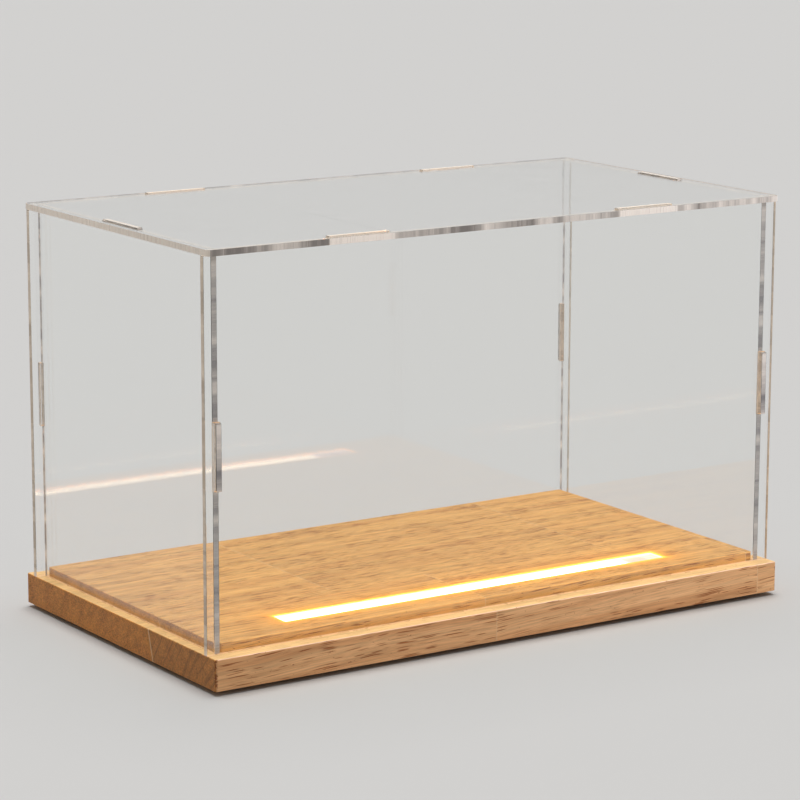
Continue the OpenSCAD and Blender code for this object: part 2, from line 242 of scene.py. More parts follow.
# wood
wood = {
    "light": tone(238, 183, 105),
    "dark": tone(208, 145, 75),
    "seam": tone(230, 196, 152),
    # stains and painted light, which are multiplied over those tones: the long sides' cool light, the
    # ledge's and upper edges' highlights and the warm light beside the channel are painted light
    "pore": (0.50, 0.32, 0.22, 1.0),
    "endGrain": (0.79, 0.58, 0.33, 1.0),
    # painted cool light on the long front and back sides
    "longSideCoolLight": (0.97, 1.00, 1.58, 1.0),
    # painted highlight on the ledge, paler and bluer than the wood
    "ledge": (1.12, 1.35, 2.15, 1.0),
    # painted highlight along the upper edges
    "arrisHighlight": (1.22, 1.27, 1.36, 1.0),
    "amberLight": (1.0, 0.94, 0.42, 1.0),  # painted warm light of the channel on the wood beside it
    # half length, half depth and top of the base's two steps
    "plinth": (110.0, 62.5, 11.5),
    "platform": (104.5, 55.2, 14.5),
    "under": -1.0,  # a height below all of the wood
    "faceDepth": 0.25,  # how near a side counts as on it
    "topDepth": 0.35,
    "ledgeDepth": 0.1,
    "aboveLedge": 0.05,  # where the platform's ends start
    # rows of staves, glued edge to edge at a leaning line, each row of pieces glued end to end
    "seamY": -22.05,
    "seamLean": 0.29,
    "seamZ": 6.5,
    "rowWidth": 90.0,
    "staveLength": 107.8,
    "staveEnd": -5.9,
    "rowShift": 37.0,
    "seamShare": 0.8,
    "rowSeam": (0.42, 0.22),  # distances at which a glue line fades out and is full
    "endSeam": (0.26, 0.10, 0.0, 0.55),  # and how strong it is at each
    # each piece's lot: random values that set its tone and the part of the pattern that it shows
    "lotSeed": 0.5,  # another value deals other lots
    "lotSpread": 0.10,
    "lotShift": (57.0, 31.0, 23.0),
    # run-out of the grain per length: its change with the lot, and its start
    "slopeAcross": (0.06, -0.03),
    "slopeUp": (-0.0275, -0.033),
    "waveScale": (0.016, 0.05, 0.05),  # of the gentle waves in it
    "waveSize": (0.0, 3.5, 3.5),
    # growth rings round the pith of each row
    "pith": (-21.0, -19.0),  # across and up, in the second row
    "pithStep": (70.0, 9.0),
    "pithSpread": 14.0,
    "ringTaper": 0.03,
    "ringPitch": 5.4,
    "ringDetail": 2.5,
    "lateWood": (0.44, 0.64),  # ring values where the darker late wood starts and is full
    "lateShare": (-0.28, 0.42),  # how dark it is: the change on the ends, and the rest
    # stretch, detail and roughness of each pattern
    "fibres": ((0.04, 2.6, 2.6), 4.0, 0.62),
    "streaks": ((0.008, 0.60, 0.60), 3.5),
    "clusters": ((0.017, 0.20, 0.20), 2.0),
    # two values of a pattern, and the shade or share at each
    "fibreShade": (0.35, 0.66, 1.11, 0.84),
    "clusterShade": (0.45, 0.66, 1.03, 0.90),
    "highlightStreaks": (0.3, 0.6, 0.35, 1.0),
    "streakEdges": (0.25, 0.75),
    "streakShare": 0.50,  # how dark the streaks are
    # length and width of a pore's cell, size of the pore in it, share of cells left bare
    "pores": ((9.0, 0.56, 0.36, 0.42), (16.0, 0.62, 0.35, 0.50), (28.0, 0.62, 0.33, 0.56)),
    "poreCore": 0.5,  # share of a pore's size that is full
    "poreChoice": 0.1,  # how gently cells turn from bare to filled
    "crowd": (0.40, 0.56, 0.38, 1.0),  # cluster values, and how full of pores the wood is there
    "lateCrowd": 0.10,
    "ledgeCalm": 0.65,  # how much of the pores and streaks are taken away on the ledge, as part of its painted highlight
    # ends
    "endShare": 0.45,  # how much of the end grain's stain the platform's ends take; less than the plinth's, as painted light on the step
    "speckle": 0.36,  # size of the fine specks
    "speckleDetail": 1.0,
    "speckleShade": (0.38, 0.62, 0.82, 1.18),
    "linePitch": 3.7,  # of the thin dark ring lines
    "lineWaver": 1.5,
    "lineWidth": (0.20, 0.04),
    "lineTone": (0.20, -0.06),  # change of shade on a line: from row to row, and at the second row
    "rowTone": (0.18, 1.02),  # the same for the whole end
    # painted highlights on the upper edges, and torn spots down the upright corners
    "arrisWidth": (0.55, 0.165),  # distances at which the painted highlight on the edge fades out and is full
    "tornReach": 1.2,
    "tornStretch": (0.5, 0.5, 1.0),
    "tornNoise": (1.1, 3.0, 0.7),  # scale, detail and roughness
    "tornCorner": 0.22,  # how much likelier a spot is at the very corner
    "torn": (0.66, 0.72),
    # surface: the fibres' share of its roughness, and the rest
    "fibreRough": (0.14, 0.44),
    "poreRough": 0.2,
    "fibreHeight": 0.35,
    "relief": 0.08 * mm,
    # painted light of the channel on its own walls and on the wood beside it
    "channel": (75.0, -41.0, 4.0),  # end, centre line and half width
    "channelFloor": 9.5,
    "wallTop": 14.2,  # where the whitest light on the walls ends
    "wallDepth": 0.1,
    "wallFade": 0.1,
    "wallGlow": (2.0, 1.8, 1.7, 1.0),
    "amberReach": 5.0,
    "glows": ((tone(255, 182, 52), 0.8, 2.0), (tone(255, 150, 40), 7.0, 0.34)),  # tone, reach, strength
    "glowTint": 0.5,  # how much of the wood's colour the light takes
}


def layStaves(tree, x, y, z, look):
    # places counted in rows and in pieces along a row, and each piece's lot
    levelLine = look["seamLean"] * look["seamZ"] - look["seamY"]
    lean = calc(tree, "MULTIPLY_ADD", z, -look["seamLean"], levelLine)
    rowPlace = calc(tree, "DIVIDE", calc(tree, "ADD", y, lean), look["rowWidth"])
    row = calc(tree, "FLOOR", rowPlace)
    shifted = calc(tree, "MULTIPLY_ADD", calc(tree, "ADD", row, 1.0), look["rowShift"], x)
    endPlace = calc(tree, "DIVIDE", calc(tree, "SUBTRACT", shifted, look["staveEnd"]), look["staveLength"])
    seed = joined(tree, row, calc(tree, "FLOOR", endPlace), look["lotSeed"])
    lot = addNode(tree, "TexWhiteNoise", {"Vector": seed}).outputs["Color"]
    return rowPlace, row, endPlace, lot


def bendGrain(tree, place, lot, look):
    # the grain runs along X, a little out of line and gently wavy, and each piece shows its own part of it
    x = split(tree, place)[0]
    lotX, lotY, _ = split(tree, lot)
    across = calc(tree, "MULTIPLY", x, calc(tree, "MULTIPLY_ADD", lotY, *look["slopeAcross"]))
    up = calc(tree, "MULTIPLY", x, calc(tree, "MULTIPLY_ADD", lotX, *look["slopeUp"]))
    soft = calcVector(tree, "MULTIPLY", place, look["waveScale"])
    waves = noise(tree, calcVector(tree, "ADD", soft, lot), 1.0, output="Color")
    evenWaves = calcVector(tree, "SUBTRACT", waves, (0.5, 0.5, 0.5))
    sway = calcVector(tree, "MULTIPLY", evenWaves, look["waveSize"])
    sloped = calcVector(tree, "ADD", place, joined(tree, 0.0, across, up))
    bent = calcVector(tree, "ADD", sloped, sway)
    return bent, calcVector(tree, "ADD", bent, calcVector(tree, "MULTIPLY", lot, look["lotShift"]))


def growRings(tree, bent, row, lot, look):
    # distance from each row's pith, and a noise that is the same all round it
    bentX, bentY, bentZ = split(tree, bent)
    pithY = calc(tree, "MULTIPLY_ADD", row, look["pithStep"][0], look["pith"][0])
    pithZ = calc(tree, "MULTIPLY_ADD", row, look["pithStep"][1], look["pith"][1])
    aside = calc(tree, "MULTIPLY_ADD", split(tree, lot)[0], look["pithSpread"], -look["pithSpread"] / 2)
    ringY = calc(tree, "SUBTRACT", calc(tree, "SUBTRACT", bentY, pithY), aside)
    ringZ = calc(tree, "SUBTRACT", bentZ, pithZ)
    fromPith = lengthOf(tree, joined(tree, 0.0, ringY, ringZ))
    radius = calc(tree, "MULTIPLY_ADD", bentX, look["ringTaper"], fromPith)
    inputs = {
        "W": calc(tree, "DIVIDE", radius, look["ringPitch"]), "Scale": 1.0, "Detail": look["ringDetail"],
    }
    return radius, addNode(tree, "TexNoise", inputs, noise_dimensions="1D").outputs["Fac"]


def openPores(tree, run, look):
    # short dark dashes, one in a cell
    pores = 0.0
    for along, wide, size, bare in look["pores"]:
        lay = calcVector(tree, "MULTIPLY", run, (1 / along, 1 / wide, 1 / wide))
        cells = addNode(tree, "TexVoronoi", {"Vector": lay, "Scale": 1.0}).outputs
        picked = ramp(tree, split(tree, cells["Color"])[0], bare, bare + look["poreChoice"])
        dash = ramp(tree, cells["Distance"], size, size * look["poreCore"])
        pores = calc(tree, "MAXIMUM", pores, calc(tree, "MULTIPLY", dash, picked))
    return pores


def onEnds(tree, x, z, block, floor, look):
    # 1 on a block's two ends, where the end grain shows
    out = calc(tree, "GREATER_THAN", calc(tree, "ABSOLUTE", x), block[0] - look["faceDepth"])
    return calc(tree, "MULTIPLY", out, calc(tree, "GREATER_THAN", z, floor))


def endMask(tree, x, z, look):
    ledge = look["plinth"][2] + look["aboveLedge"]
    plinth = onEnds(tree, x, z, look["plinth"], look["under"], look)
    platform = onEnds(tree, x, z, look["platform"], ledge, look)
    return calc(tree, "MAXIMUM", plinth, calc(tree, "MULTIPLY", platform, look["endShare"]))


def endStain(tree, place, row, radius, rings, look):
    # the end grain's stain with fine specks and thin ring lines
    specks = noise(tree, place, 1 / look["speckle"], look["speckleDetail"])
    evenTurns = calc(tree, "DIVIDE", radius, look["linePitch"])
    turns = calc(tree, "MULTIPLY_ADD", rings, look["lineWaver"], evenTurns)
    line = ramp(tree, toWhole(tree, turns), *look["lineWidth"])
    shade = calc(tree, "MULTIPLY_ADD", line, calc(tree, "MULTIPLY_ADD", row, *look["lineTone"]), 1.0)
    shade = calc(tree, "MULTIPLY", shade, ramp(tree, specks, *look["speckleShade"]))
    shade = calc(tree, "MULTIPLY", shade, calc(tree, "MULTIPLY_ADD", row, *look["rowTone"]))
    return shaded(tree, look["endGrain"], shade)


def glueLines(tree, rowPlace, endPlace, ends, look):
    # between two rows they show on the ends, and between the pieces of a row everywhere
    rowGap = calc(tree, "MULTIPLY", toWhole(tree, rowPlace), look["rowWidth"])
    endGap = calc(tree, "MULTIPLY", toWhole(tree, endPlace), look["staveLength"])
    rowSeam = calc(tree, "MULTIPLY", ramp(tree, rowGap, *look["rowSeam"]), ends)
    return calc(tree, "MAXIMUM", rowSeam, ramp(tree, endGap, *look["endSeam"]))


def nearArris(tree, x, y, z, block, width):
    # 1 along the upper outer edges of a block, fading over the width
    halfLength, halfDepth, top = block
    side = calc(tree, "MAXIMUM", beyond(tree, x, halfLength), beyond(tree, y, halfDepth))
    return ramp(tree, calc(tree, "ADD", calc(tree, "ABSOLUTE", side), apart(tree, z, top)), *width)


def paintedEdgeHighlights(tree, x, y, z, streaks, look):
    # painted highlights along the plinth's and platform's upper edges, broken up by the streaks
    plinth = nearArris(tree, x, y, z, look["plinth"], look["arrisWidth"])
    platform = nearArris(tree, x, y, z, look["platform"], look["arrisWidth"])
    both = calc(tree, "MAXIMUM", plinth, platform)
    return calc(tree, "MULTIPLY", both, ramp(tree, streaks, *look["highlightStreaks"]))


def tornCorners(tree, place, x, y, look):
    # small torn spots down the plinth's upright corners
    halfLength, halfDepth, _ = look["plinth"]
    away = lengthOf(tree, joined(tree, beyond(tree, x, halfLength), beyond(tree, y, halfDepth), 0.0))
    spots = noise(tree, calcVector(tree, "MULTIPLY", place, look["tornStretch"]), *look["tornNoise"])
    corner = ramp(tree, away, look["tornReach"], 0.0)
    return ramp(tree, calc(tree, "MULTIPLY_ADD", corner, look["tornCorner"], spots), *look["torn"])


def channelLight(tree, x, y, z, colour, look):
    # the wood's colour with painted warm light beside the channel, and a painted glow on it
    endX, middleY, halfWidth = look["channel"]
    away = outOfOblong(tree, x, y, middleY, endX, halfWidth)
    onTop = calc(tree, "GREATER_THAN", z, look["platform"][2] - look["topDepth"])
    warmed = calc(tree, "MULTIPLY", fading(tree, away, look["amberReach"]), onTop)
    colour = stained(tree, warmed, colour, look["amberLight"])
    wallHalf = (look["wallTop"] - look["channelFloor"]) / 2
    onHeight = near(tree, z, look["wallTop"] - wallHalf, wallHalf, look["wallFade"])
    wall = calc(tree, "MULTIPLY", near(tree, away, 0.0, look["wallDepth"]), onHeight)
    glow = mixTones(tree, wall, black, look["wallGlow"])
    for hue, reach, strength in look["glows"]:
        level = calc(tree, "MULTIPLY", calc(tree, "MULTIPLY", fading(tree, away, reach), strength), onTop)
        glow = mixTones(tree, 1.0, glow, shaded(tree, hue, level), "ADD")
    return colour, mixTones(tree, 1.0, glow, mixTones(tree, look["glowTint"], white, colour), "MULTIPLY")


def woodGroup(look):
    tree, given = newGroup(
        "woodGrain",
        {"Position": ("Vector", None)},
        {"Colour": "Color", "Roughness": "Float", "Height": "Float", "Glow": "Color"},
    )
    scaled = addNode(tree, "VectorMath", {0: given["Position"], "Scale": 1 / mm}, operation="SCALE")
    place = scaled.outputs[0]
    x, y, z = split(tree, place)
    rowPlace, row, endPlace, lot = layStaves(tree, x, y, z, look)
    bent, run = bendGrain(tree, place, lot, look)
    radius, rings = growRings(tree, bent, row, lot, look)
    late = ramp(tree, rings, *look["lateWood"])
    fibres = stretchedNoise(tree, run, *look["fibres"])
    streaks = stretchedNoise(tree, run, *look["streaks"])
    clusters = stretchedNoise(tree, run, *look["clusters"])
    ends = endMask(tree, x, z, look)

    # pores gather in bands, and fewer show on the ledge, as part of its painted highlight
    onLedge = near(tree, z, look["plinth"][2], look["ledgeDepth"])
    calm = calc(tree, "MULTIPLY_ADD", onLedge, -look["ledgeCalm"], 1.0)
    crowd = ramp(tree, calc(tree, "MULTIPLY_ADD", late, look["lateCrowd"], clusters), *look["crowd"])
    pores = calc(tree, "MULTIPLY", calc(tree, "MULTIPLY", openPores(tree, run, look), crowd), calm)

    # tone of the long grain
    ringed = calc(tree, "MULTIPLY", late, calc(tree, "MULTIPLY_ADD", ends, *look["lateShare"]))
    streaked = ramp(tree, streaks, *look["streakEdges"])
    darkness = calc(tree, "MULTIPLY_ADD", streaked, look["streakShare"], ringed)
    colour = mixTones(tree, calc(tree, "MULTIPLY", darkness, calm), look["light"], look["dark"])
    spread = look["lotSpread"]
    lotShade = calc(tree, "MULTIPLY_ADD", split(tree, lot)[2], spread, 1 - spread / 2)
    shade = calc(tree, "MULTIPLY", ramp(tree, fibres, *look["fibreShade"]), lotShade)
    shade = calc(tree, "MULTIPLY", shade, ramp(tree, clusters, *look["clusterShade"]))
    colour = stained(tree, pores, shaded(tree, colour, shade), look["pore"])

    # ends, long sides with their painted cool light, the ledge's painted highlight, glue lines, painted
    # highlights on the upper edges, and torn corners, each in its place
    longSideCoolLight = calc(tree, "GREATER_THAN", calc(tree, "ABSOLUTE", y), look["plinth"][1] - look["faceDepth"])
    seams = glueLines(tree, rowPlace, endPlace, ends, look)
    colour = stained(tree, ends, colour, endStain(tree, place, row, radius, rings, look))
    colour = stained(tree, longSideCoolLight, colour, look["longSideCoolLight"])
    colour = stained(tree, onLedge, colour, look["ledge"])
    colour = mixTones(tree, calc(tree, "MULTIPLY", seams, look["seamShare"]), colour, look["seam"])
    colour = stained(tree, paintedEdgeHighlights(tree, x, y, z, streaks, look), colour, look["arrisHighlight"])
    colour = stained(tree, tornCorners(tree, place, x, y, look), colour, look["pore"])

    fibreRough = calc(tree, "MULTIPLY_ADD", fibres, *look["fibreRough"])
    rough = calc(tree, "MULTIPLY_ADD", pores, look["poreRough"], fibreRough)
    height = calc(tree, "MULTIPLY_ADD", pores, -1.0, calc(tree, "MULTIPLY", fibres, look["fibreHeight"]))
    colour, glow = channelLight(tree, x, y, z, colour, look)
    return closeGroup(tree, Colour=colour, Roughness=rough, Height=height, Glow=glow)


def woodMaterial(look):
    material, tree, shader = newMaterial("oiledWood", Emission_Strength=1.0)
    grain = useGroup(tree, woodGroup(look), Position=objectPlace(tree))
    feed(tree, shader, Base_Color=grain["Colour"], Roughness=grain["Roughness"])
    feed(tree, shader, Emission_Color=grain["Glow"])
    addBump(tree, shader, grain["Height"], look["relief"])
    return material


dress(woodMaterial(wood), "base_board")
print("wood grain made")


# clear sheet
sheet = {
    "clear": (0.985, 0.99, 0.985, 1.0),
    "passed": (0.975, 0.98, 0.975, 1.0),  # what each face lets through for lamps
    "ior": 1.49,
    "rippleScale": 45.0,  # per metre
    "rippleDepth": 0.02 * mm,
    "rippleStrength": 0.6,
    "gap": 0.02 * mm,  # keeps faces that touch from lying in one plane
    "rim": 0.12 * mm,  # melted rim of a laser cut
    "rimSteps": 2,
    "mergeGap": 0.001 * mm,
    "flatAngle": 1.0,  # degrees below which faces are one
    "sharpAngle": 50.0,  # degrees above which an edge has a rim
    "facing": 0.9,  # share of a face's normal along an axis that counts as facing it
    # light and dark tones of the cut edges, for sheets across X, Y and Z and for the walls' lower edges:
    # the three directions are painted light and shade of one cut edge, and the lower edges are painted in
    # the colour of the lit wood below
    "edgesX": (tone(232, 222, 212), tone(126, 122, 122)),
    "edgesY": (tone(246, 232, 216), tone(188, 172, 156)),
    "edgesZ": (tone(242, 232, 222), tone(126, 119, 114)),
    "edgesFoot": (tone(252, 208, 156), tone(238, 190, 140)),
    "edgeClear": 0.10,
    "paintedEdgeGlow": 0.18,  # painted glow, standing in for light that the sheet carries to its cut edges
    "edgeRelief": 0.02 * mm,
    "tabX": 55.0,  # the top's edge is whiter beside each tab, and along its two ends: a painted highlight
    "tabHalf": 11.5,
    "tabFade": 1.0,
    "endX": (108.5, 109.0),
    "tabZ": 134.0,  # the walls' tabs are whiter above this: a painted highlight on their frosted ends
    # pitch, detail and roughness of the laser's lines, of broader patches and of fine frost
    "stria": (0.45, 3.0, 0.65),
    "patch": (7.0, 2.0, 0.5),
    "frost": (0.25, 2.0, 0.5),
    "striaShare": 0.22,
    # two values of a pattern, and the share, shade or roughness at each
    "paleShare": (0.36, 0.76),
    "brightShare": (0.2, 0.55, 0.6, 1.0),
    "frostShade": (0.3, 0.7, 0.93, 1.03),
    "patchRough": (0.3, 0.7, 0.20, 0.40),
}


def cutEdgeGroup(look):
    # laser striations run straight across the sheet's thickness: Along is 0 that way and 1 otherwise
    tree, given = newGroup(
        "cutEdge",
        {
            "Position": ("Vector", None), "Along": ("Vector", (1.0, 1.0, 1.0)),
            "Light": ("Color", None), "Dark": ("Color", None), "Bright": ("Float", 0.0),
        },
        {"Colour": "Color", "Roughness": "Float", "Height": "Float"},
    )
    lay = calcVector(tree, "MULTIPLY", given["Position"], given["Along"])
    lines, patches, frost = (
        noise(tree, where, 1 / (pitch * mm), detail, roughness)
        for where, (pitch, detail, roughness) in (
            (lay, look["stria"]), (lay, look["patch"]), (given["Position"], look["frost"]),
        )
    )
    softer = calc(tree, "MULTIPLY", patches, 1 - look["striaShare"])
    both = calc(tree, "MULTIPLY_ADD", lines, look["striaShare"], softer)
    bright = calc(tree, "MULTIPLY", given["Bright"], ramp(tree, lines, *look["brightShare"]))
    pale = calc(tree, "MAXIMUM", ramp(tree, both, *look["paleShare"]), bright)
    colour = mixTones(tree, pale, given["Dark"], given["Light"])
    colour = shaded(tree, colour, ramp(tree, frost, *look["frostShade"]))
    rough = ramp(tree, patches, *look["patchRough"])
    return closeGroup(tree, Colour=colour, Roughness=rough, Height=lines)


def clearMaterial(look):
    material, tree, shader = newMaterial(
        "clearSheet", Base_Color=look["clear"], Roughness=0.0, IOR=look["ior"], Transmission_Weight=1.0,
    )
    # light from the lamps and from the wood goes straight through
    path = addNode(tree, "LightPath").outputs
    passing = addNode(tree, "BsdfTransparent", {"Color": look["passed"]}).outputs[0]
    inner = addNode(tree, "MixShader", {0: path["Is Diffuse Ray"], 1: shader.outputs[0], 2: passing})
    outer = addNode(tree, "MixShader", {0: path["Is Shadow Ray"], 1: inner.outputs[0], 2: passing})
    tree.links.new(outer.outputs[0], tree.nodes["Material Output"].inputs["Surface"])
    ripple = noise(tree, objectPlace(tree), look["rippleScale"])
    addBump(tree, shader, ripple, look["rippleDepth"], look["rippleStrength"])
    return material


def edgeMaterial(look, group, name, along, tones, isTop=False):
    material, tree, shader = newMaterial(
        name, IOR=look["ior"], Transmission_Weight=look["edgeClear"], Emission_Strength=look["paintedEdgeGlow"],
    )
    place = objectPlace(tree)
    x, _, z = inMm(tree, place)
    if isTop:
        x = calc(tree, "ABSOLUTE", x)
        beside = near(tree, x, look["tabX"], look["tabHalf"], look["tabFade"])
        bright = calc(tree, "MAXIMUM", beside, ramp(tree, x, *look["endX"]))
    else:
        bright = calc(tree, "GREATER_THAN", z, look["tabZ"])
    cut = useGroup(tree, group, Position=place, Along=along, Light=tones[0], Dark=tones[1], Bright=bright)
    # the cut edges glow in their own colour, a painted glow
    feed(tree, shader, Base_Color=cut["Colour"], Emission_Color=cut["Colour"], Roughness=cut["Roughness"])
    addBump(tree, shader, cut["Height"], look["edgeRelief"])
    return material


def isFoot(face, thin, look):
    # a wall's lower edge, painted in the pale colour of the lit wood it stands on, as that wood would show
    # through it
    return thin != 2 and face.normal.z < -look["facing"]


def makeSheet(name, body, thin, materials, look):
    # the node's own outline, merged, drawn in by the gap and with its rims rounded; thin is its thin axis
    mesh = nodes[name].data.copy()
    build = bmesh.new()
    build.from_mesh(mesh)
    bmesh.ops.remove_doubles(build, verts=build.verts, dist=look["mergeGap"])
    flat = radians(look["flatAngle"])
    bmesh.ops.dissolve_limit(build, angle_limit=flat, verts=build.verts, edges=build.edges)
    build.normal_update()
    moves = [(corner, corner.normal * corner.calc_shell_factor() * look["gap"]) for corner in build.verts]
    for corner, move in moves:
        corner.co -= move
    for face in build.faces:
        isEdge = abs(face.normal[thin]) < look["facing"]
        face.smooth = False
        face.material_index = 2 if isFoot(face, thin, look) else int(isEdge)  # face 0, cut edge 1, foot 2
    weight = build.edges.layers.float.new("bevel_weight_edge")
    for edge in build.edges:
        isSharp = edge.calc_face_angle(0.0) > radians(look["sharpAngle"])
        edge[weight] = float(isSharp and not any(isFoot(face, thin, look) for face in edge.link_faces))
    mesh.materials.clear()
    for material in materials:
        mesh.materials.append(material)
    build.to_mesh(mesh)  # after the materials, whose clearing resets every face's slot
    build.free()
    piece = bpy.data.objects.new(name + "_sheet", mesh)
    bpy.context.scene.collection.objects.link(piece)
    rim = piece.modifiers.new("rim", "BEVEL")
    rim.width = look["rim"]
    rim.segments = look["rimSteps"]
    rim.limit_method = "WEIGHT"
    rim.material = 0  # a laser leaves the rims clear
    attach(piece, body)
    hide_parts(name)


def makeSheets(look):
    faces = clearMaterial(look)
    group = cutEdgeGroup(look)
    acrossX = edgeMaterial(look, group, "cutEdgeSides", (0.0, 1.0, 1.0), look["edgesX"])
    acrossY = edgeMaterial(look, group, "cutEdgeFront", (1.0, 0.0, 1.0), look["edgesY"])
    acrossZ = edgeMaterial(look, group, "cutEdgeTop", (1.0, 1.0, 0.0), look["edgesZ"], isTop=True)
    foot = edgeMaterial(look, group, "cutEdgeFoot", (1.0, 1.0, 0.0), look["edgesFoot"])
    makeSheet("front_panel", "walls", 1, (faces, acrossY, foot), look)
    makeSheet("back_panel", "walls", 1, (faces, acrossY, foot), look)
    makeSheet("left_panel", "walls", 0, (faces, acrossX, foot), look)
    makeSheet("right_panel", "walls", 0, (faces, acrossX, foot), look)
    makeSheet("top_panel", "top", 2, (faces, acrossZ, foot), look)


makeSheets(sheet)
print("clear sheets made")


# light
light = {
    "core": (1.0, 0.80, 0.52, 1.0),
    "coreDim": (1.0, 0.42, 0.54, 1.0),  # past the last lamp
    "rim": (1.0, 0.55, 0.14, 1.0),
    "cover": tone(250, 240, 214),
    # the cover's own colour where its lamps' light fades: painted shade
    "coverDim": tone(236, 184, 150),
    "strength": 4.5,
    "rough": 0.4,
    "half": (74.9, 3.9),
    "middleY": -41.0,
    "round": 2.2,  # of the bright core's ends
    "rimEdges": (1.7, 2.2),  # distances out where the rim's tone starts and is full
    "lampsEnd": (58.5, 63.0, 1.0, 0.13),  # where the light fades past the last lamp, from and to what
    "endWall": (69.0, 71.2, 0.0, 0.05),  # and where the end wall brightens it again
    "cloudScale": 260.0,  # per metre
    "cloudDetail": 3.0,
    "cloudLevel": (0.3, 0.7, 0.94, 1.06),
    "grainScale": 900.0,  # per metre
    "relief": 0.03 * mm,
}


def opalMaterial(look):
    material, tree, shader = newMaterial(
        "opalCover", Base_Color=look["cover"], Roughness=look["rough"], Emission_Strength=look["strength"],
    )
    place = objectPlace(tree)
    x, y, _ = inMm(tree, place)
    along = calc(tree, "ADD", ramp(tree, x, *look["lampsEnd"]), ramp(tree, x, *look["endWall"]))
    clouds = noise(tree, place, look["cloudScale"], look["cloudDetail"])
    level = calc(tree, "MULTIPLY", along, ramp(tree, clouds, *look["cloudLevel"]))
    # an oblong drawn in by its round, so that the bright core has round ends
    halfX, halfY = (half - look["round"] for half in look["half"])
    out = outOfOblong(tree, x, y, look["middleY"], halfX, halfY)
    core = mixTones(tree, level, look["coreDim"], look["core"])
    colour = mixTones(tree, ramp(tree, out, *look["rimEdges"]), core, look["rim"])
    # the cover's colour darkens with the light level too, as painted shade
    cover = mixTones(tree, level, look["coverDim"], look["cover"])
    feed(tree, shader, Emission_Color=shaded(tree, colour, level), Base_Color=cover)
    addBump(tree, shader, noise(tree, place, look["grainScale"]), look["relief"])
    return material


dress(opalMaterial(light), "light_cover")
print("light cover made")


# fittings: moulded plastic, rubber, metal and wires
# grain, relief and stretch are the size, depth and direction of the texture, and spread is its contrast
fittings = {
    "blackPlastic": {
        "nodes": ("underside_plate", "switch_body"),
        "tone": tone(46, 46, 48), "metal": 0.0, "rough": 0.50,
        "grain": 0.35, "spread": 0.16, "relief": 0.030,
    },
    "sliderPlastic": {
        "nodes": ("switch_slider",),
        "tone": tone(58, 58, 60), "metal": 0.0, "rough": 0.42,
        "grain": 0.20, "spread": 0.12, "relief": 0.020, "stretch": (4, 0.2, 0.2),
    },
    "chipBlack": {
        "nodes": ("led_resistors",),
        "tone": tone(40, 40, 42), "metal": 0.0, "rough": 0.45,
        "grain": 0.15, "spread": 0.25, "relief": 0.010,
    },
    "footRubber": {
        "nodes": ("foot_front_left", "foot_front_right", "foot_back_left", "foot_back_right"),
        "tone": tone(54, 53, 54), "metal": 0.0, "rough": 0.78,
        "grain": 0.60, "spread": 0.20, "relief": 0.050,
    },
    "screwSteel": {
        "nodes": ("plate_screws", "board_screws"),
        "tone": tone(196, 197, 199), "metal": 1.0, "rough": 0.32,
        "grain": 0.20, "spread": 0.14, "relief": 0.008, "stretch": (1, 1, 0.1),
    },
    "shellSteel": {
        "nodes": ("usb_shell",),
        "tone": tone(206, 207, 210), "metal": 1.0, "rough": 0.26,
        "grain": 0.12, "spread": 0.12, "relief": 0.006, "stretch": (1, 0.06, 1),
    },
    "redSleeve": {
        "nodes": ("wire_red",),
        "tone": tone(196, 42, 36), "metal": 0.0, "rough": 0.32,
        "grain": 0.90, "spread": 0.10, "relief": 0.010,
    },
    "blackSleeve": {
        "nodes": ("wire_black",),
        "tone": tone(44, 44, 46), "metal": 0.0, "rough": 0.32,
        "grain": 0.90, "spread": 0.14, "relief": 0.010,
    },
}
fineTexture = {
    "detail": 3.0,
    "roughness": 0.6,
    "patchScale": 0.07,  # of the broader patches, against the fine grain's
    "roughSpread": 0.25,
}


def fineGrainGroup(look):
    # an even, fine texture; Grain is its size in metres and Spread how far the tone varies
    tree, given = newGroup(
        "fineGrain",
        {
            "Position": ("Vector", None), "Stretch": ("Vector", (1.0, 1.0, 1.0)), "Tone": ("Color", None),
            "Grain": ("Float", 0.0005), "Spread": ("Float", 0.1), "Rough": ("Float", 0.5),
        },
        {"Colour": "Color", "Roughness": "Float", "Height": "Float"},
    )
    lay = calcVector(tree, "MULTIPLY", given["Position"], given["Stretch"])
    size = calc(tree, "DIVIDE", 1.0, given["Grain"])
    fine = noise(tree, lay, size, look["detail"], look["roughness"])
    patches = noise(tree, given["Position"], calc(tree, "MULTIPLY", size, look["patchScale"]))
    both = calc(tree, "SUBTRACT", calc(tree, "ADD", fine, patches), 1.0)
    shade = calc(tree, "MULTIPLY_ADD", both, calc(tree, "MULTIPLY", given["Spread"], 2.0), 1.0)
    rough = calc(tree, "MULTIPLY_ADD", both, look["roughSpread"], given["Rough"])
    return closeGroup(tree, Colour=shaded(tree, given["Tone"], shade), Roughness=rough, Height=fine)


def grained(group, name, finish):
    material, tree, shader = newMaterial(name, Metallic=finish["metal"])
    place = objectPlace(tree)
    look = useGroup(
        tree, group, Position=place, Stretch=finish.get("stretch", (1, 1, 1)), Tone=finish["tone"],
        Grain=finish["grain"] * mm, Spread=finish["spread"], Rough=finish["rough"],
    )
    feed(tree, shader, Base_Color=look["Colour"], Roughness=look["Roughness"])
    addBump(tree, shader, look["Height"], finish["relief"] * mm)
    return material, tree, shader, look["Colour"], inMm(tree, place)


fineGrain = fineGrainGroup(fineTexture)
for finishName, finish in fittings.items():
    dress(grained(fineGrain, finishName, finish)[0], *finish["nodes"])
print("fittings dressed")


